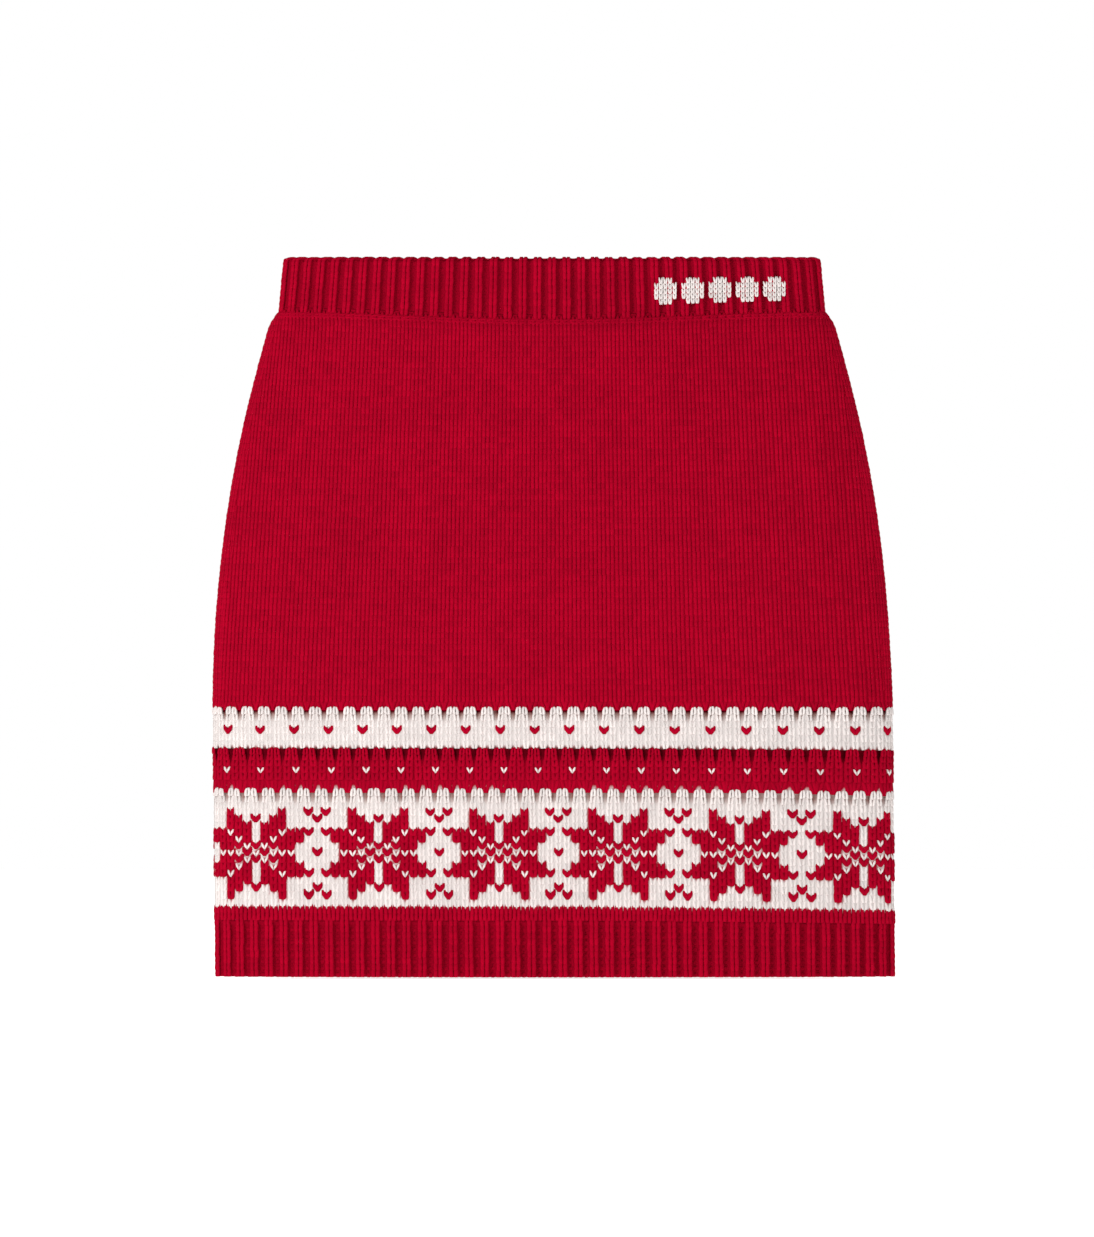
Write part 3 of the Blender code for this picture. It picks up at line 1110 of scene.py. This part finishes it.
class SKIRT_OT_waist_motif(Maker):
    """Adds a small row of white lozenges on the waistband"""

    bl_idname = "skirt.waist_motif"
    bl_label = "Waist motif"

    LOZENGES = 5
    HALF = 2  # stitches from a lozenge's middle to its points
    REPEAT = 6

    def execute(self, context):
        low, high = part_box("waistband_motif")
        columns = self.LOZENGES * self.REPEAT - 1
        course = (high[2] - low[2]) / (2 * self.HALF + 1.4)
        stitch = (high[0] - low[0]) / columns
        reach = reach_at(WAISTBAND_BASE)
        spots = []
        for column in range(columns):
            x = low[0] + (column + 0.5) * stitch
            apart = abs(column % self.REPEAT - self.HALF)
            for row in range(-self.HALF, self.HALF + 1):
                if apart > self.HALF or abs(row) + apart > self.HALF + 1:
                    continue
                height = low[2] + (row + self.HALF) * course
                angle = math.asin(x / outline(np.array([height]))[0][0])
                share = np.interp(angle, QUARTER_ANGLES, QUARTER_RUN)
                run = height - WAISTBAND_BASE
                spots.append((share * reach, run, stitch, course, 0.0006, 0, 0))
        motif = lay_stitches(
            "waist_motif", stitch_template(fullness=0.28), spots, waist_bend(FRONT),
            "white", 71
        )
        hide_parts("waistband_motif")
        return {"FINISHED"}


def label_material():
    nodes = Nodes("label_satin")
    base = tuple(colours().label)
    place = object_coordinates(nodes)
    weave = nodes.weave(place, "DIAGONAL", 900.0, 1.0)
    share = nodes.maths("MULTIPLY", weave, nodes.noise(place, 500.0, 3.0))
    tone = nodes.mix(share, scaled(base, 0.86), scaled(base, 1.08))
    nodes.link(tone, nodes.shader.inputs["Base Color"])
    nodes.bump(weave, 0.0001)
    return nodes.finish(0.45, 0.2, 0.4, 0.45)


class SKIRT_OT_labels(Maker):
    """Adds the two blank labels and the thread that holds the main one"""

    bl_idname = "skirt.labels"
    bl_label = "Labels"

    def execute(self, context):
        material = label_material()
        for name in ("main_label", "care_label"):
            low, high = (np.array(corner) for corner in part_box(name))
            mesh, x, y, inner = slab(30, 16)
            px = low[0] + (high[0] - low[0]) * x
            pz = low[2] + (high[2] - low[2]) * y
            free = 1 - y if name == "main_label" else 1 - x
            ripple = 0.00025 * np.sin(7 * x + 2 * y) * free
            hemmed = 0.00012 * ((x < 0.05) | (x > 0.95) | (y < 0.08) | (y > 0.92))
            middle = (low[1] + high[1]) / 2
            thick = 0.00018 + hemmed
            py = middle + ripple - thick + 2 * thick * inner
            mesh_places = np.stack([px, py, pz], axis=1)
            set_bake_map(mesh, x + INSIDE_SHIFT * inner, y)
            piece = finish_piece(f"{name}_cloth", mesh, mesh_places, material, body=name)
            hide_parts(name)
        self.sew()
        return {"FINISHED"}

    def sew(self):
        low, high = (np.array(corner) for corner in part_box("main_label_stitching"))
        count = 14
        pitch = (high[0] - low[0]) / count
        middle = (low[1] + high[1]) / 2
        height = (low[2] + high[2]) / 2
        spots = [
            (low[0] + (i + 0.5) * pitch, height, 0.8 * pitch, 0.0007, 0, 0, 0)
            for i in range(count)
        ]

        def bend(s, z, out):
            return np.stack([s, middle - 0.4 * out, z], axis=1)

        thread = lay_stitches("main_label_thread", thread_template(), spots, bend, "red", 81)
        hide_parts("main_label_stitching")


class SKIRT_OT_declare_sheets(Maker):
    """Does nothing and returns at once"""

    bl_idname = "skirt.declare_sheets"
    bl_label = "Declare sheets"

    def execute(self, context):
        return {"FINISHED"}


class SKIRT_OT_stage(bpy.types.Operator):
    """Adds the floor, the light and the camera"""

    bl_idname = "skirt.stage"
    bl_label = "Stage"

    def execute(self, context):
        scene = context.scene
        scene.view_settings.view_transform = "Standard"
        self.floor()
        self.world()
        self.light()
        self.camera()
        return {"FINISHED"}

    def floor(self):
        bm = bmesh.new()
        bmesh.ops.create_grid(bm, x_segments=1, y_segments=1, size=6.0)
        mesh = bpy.data.meshes.new("floor")
        bm.to_mesh(mesh)
        bm.free()
        for vert in mesh.vertices:
            vert.co.z = -0.0008
        nodes = Nodes("floor_white")
        set_inputs(
            nodes.shader, Base_Color=(0.9, 0.9, 0.9, 1), Emission_Color=(1, 1, 1, 1),
            Emission_Strength=0.8,
        )
        mesh.materials.append(nodes.finish(0.9, 0.0, 0.5, 0.2))
        add_object("floor", mesh)

    def world(self):
        world = bpy.data.worlds.new("studio")
        world.use_nodes = True
        tree = world.node_tree
        sky = tree.nodes["Background"]
        set_inputs(sky, Color=(1.0, 1.0, 1.0, 1.0))
        seen = tree.nodes.new("ShaderNodeLightPath").outputs["Is Camera Ray"]
        strength = tree.nodes.new("ShaderNodeMapRange")
        set_inputs(strength, To_Min=0.56, To_Max=1.0)
        tree.links.new(seen, strength.inputs["Value"])
        tree.links.new(strength.outputs["Result"], sky.inputs["Strength"])
        bpy.context.scene.world = world

    def light(self):
        light = bpy.data.lights.new("key_light", "AREA")
        light.shape = "DISK"
        light.size = 1.2
        light.energy = 66.0
        lamp = add_object("key_light", light)
        lamp.location = (-2.3, -3.1, 1.5)
        aim(lamp, (0, 0, 0.21))

    def camera(self):
        distance = 14.0
        frame_height = 0.7216
        data = bpy.data.cameras.new("camera")
        data.sensor_fit = "VERTICAL"
        data.sensor_height = 24.0
        data.lens = 24.0 * distance / frame_height
        data.clip_end = 50.0
        camera = add_object("camera", data)
        across, height = -0.0029, 0.2091
        camera.location = (across, -distance, height)
        aim(camera, (across, 0, height))
        bpy.context.scene.camera = camera


def aim(item, target):
    way = Vector(target) - item.location
    item.rotation_euler = way.to_track_quat("-Z", "Y").to_euler()


class SKIRT_PT_panel(bpy.types.Panel):
    bl_label = "Knitted skirt"
    bl_idname = "SKIRT_PT_panel"
    bl_space_type = "VIEW_3D"
    bl_region_type = "UI"
    bl_category = "Skirt"

    def draw(self, context):
        for group in (context.scene.skirt_sizes, context.scene.skirt_colours):
            for name in group.__annotations__:
                self.layout.prop(group, name)
        for operator in OPERATORS:
            self.layout.operator(operator.bl_idname)


OPERATORS = (
    SKIRT_OT_stage,
    SKIRT_OT_panel_cloth,
    SKIRT_OT_body_stitches,
    SKIRT_OT_band_stitches,
    SKIRT_OT_hem_rib,
    SKIRT_OT_waistband,
    SKIRT_OT_linking_chain,
    SKIRT_OT_side_seams,
    SKIRT_OT_waist_motif,
    SKIRT_OT_labels,
    SKIRT_OT_declare_sheets,
)
CLASSES = (SkirtSizes, SkirtColours, *OPERATORS, SKIRT_PT_panel)


def register():
    for item in CLASSES:
        bpy.utils.register_class(item)
    bpy.types.Scene.skirt_sizes = bpy.props.PointerProperty(type=SkirtSizes)
    bpy.types.Scene.skirt_colours = bpy.props.PointerProperty(type=SkirtColours)


def unregister():
    del bpy.types.Scene.skirt_colours
    del bpy.types.Scene.skirt_sizes
    for item in reversed(CLASSES):
        bpy.utils.unregister_class(item)


def main():
    register()
    for operator in OPERATORS:
        group, name = operator.bl_idname.split(".")
        getattr(getattr(bpy.ops, group), name)()


if __name__ == "__main__":
    main()
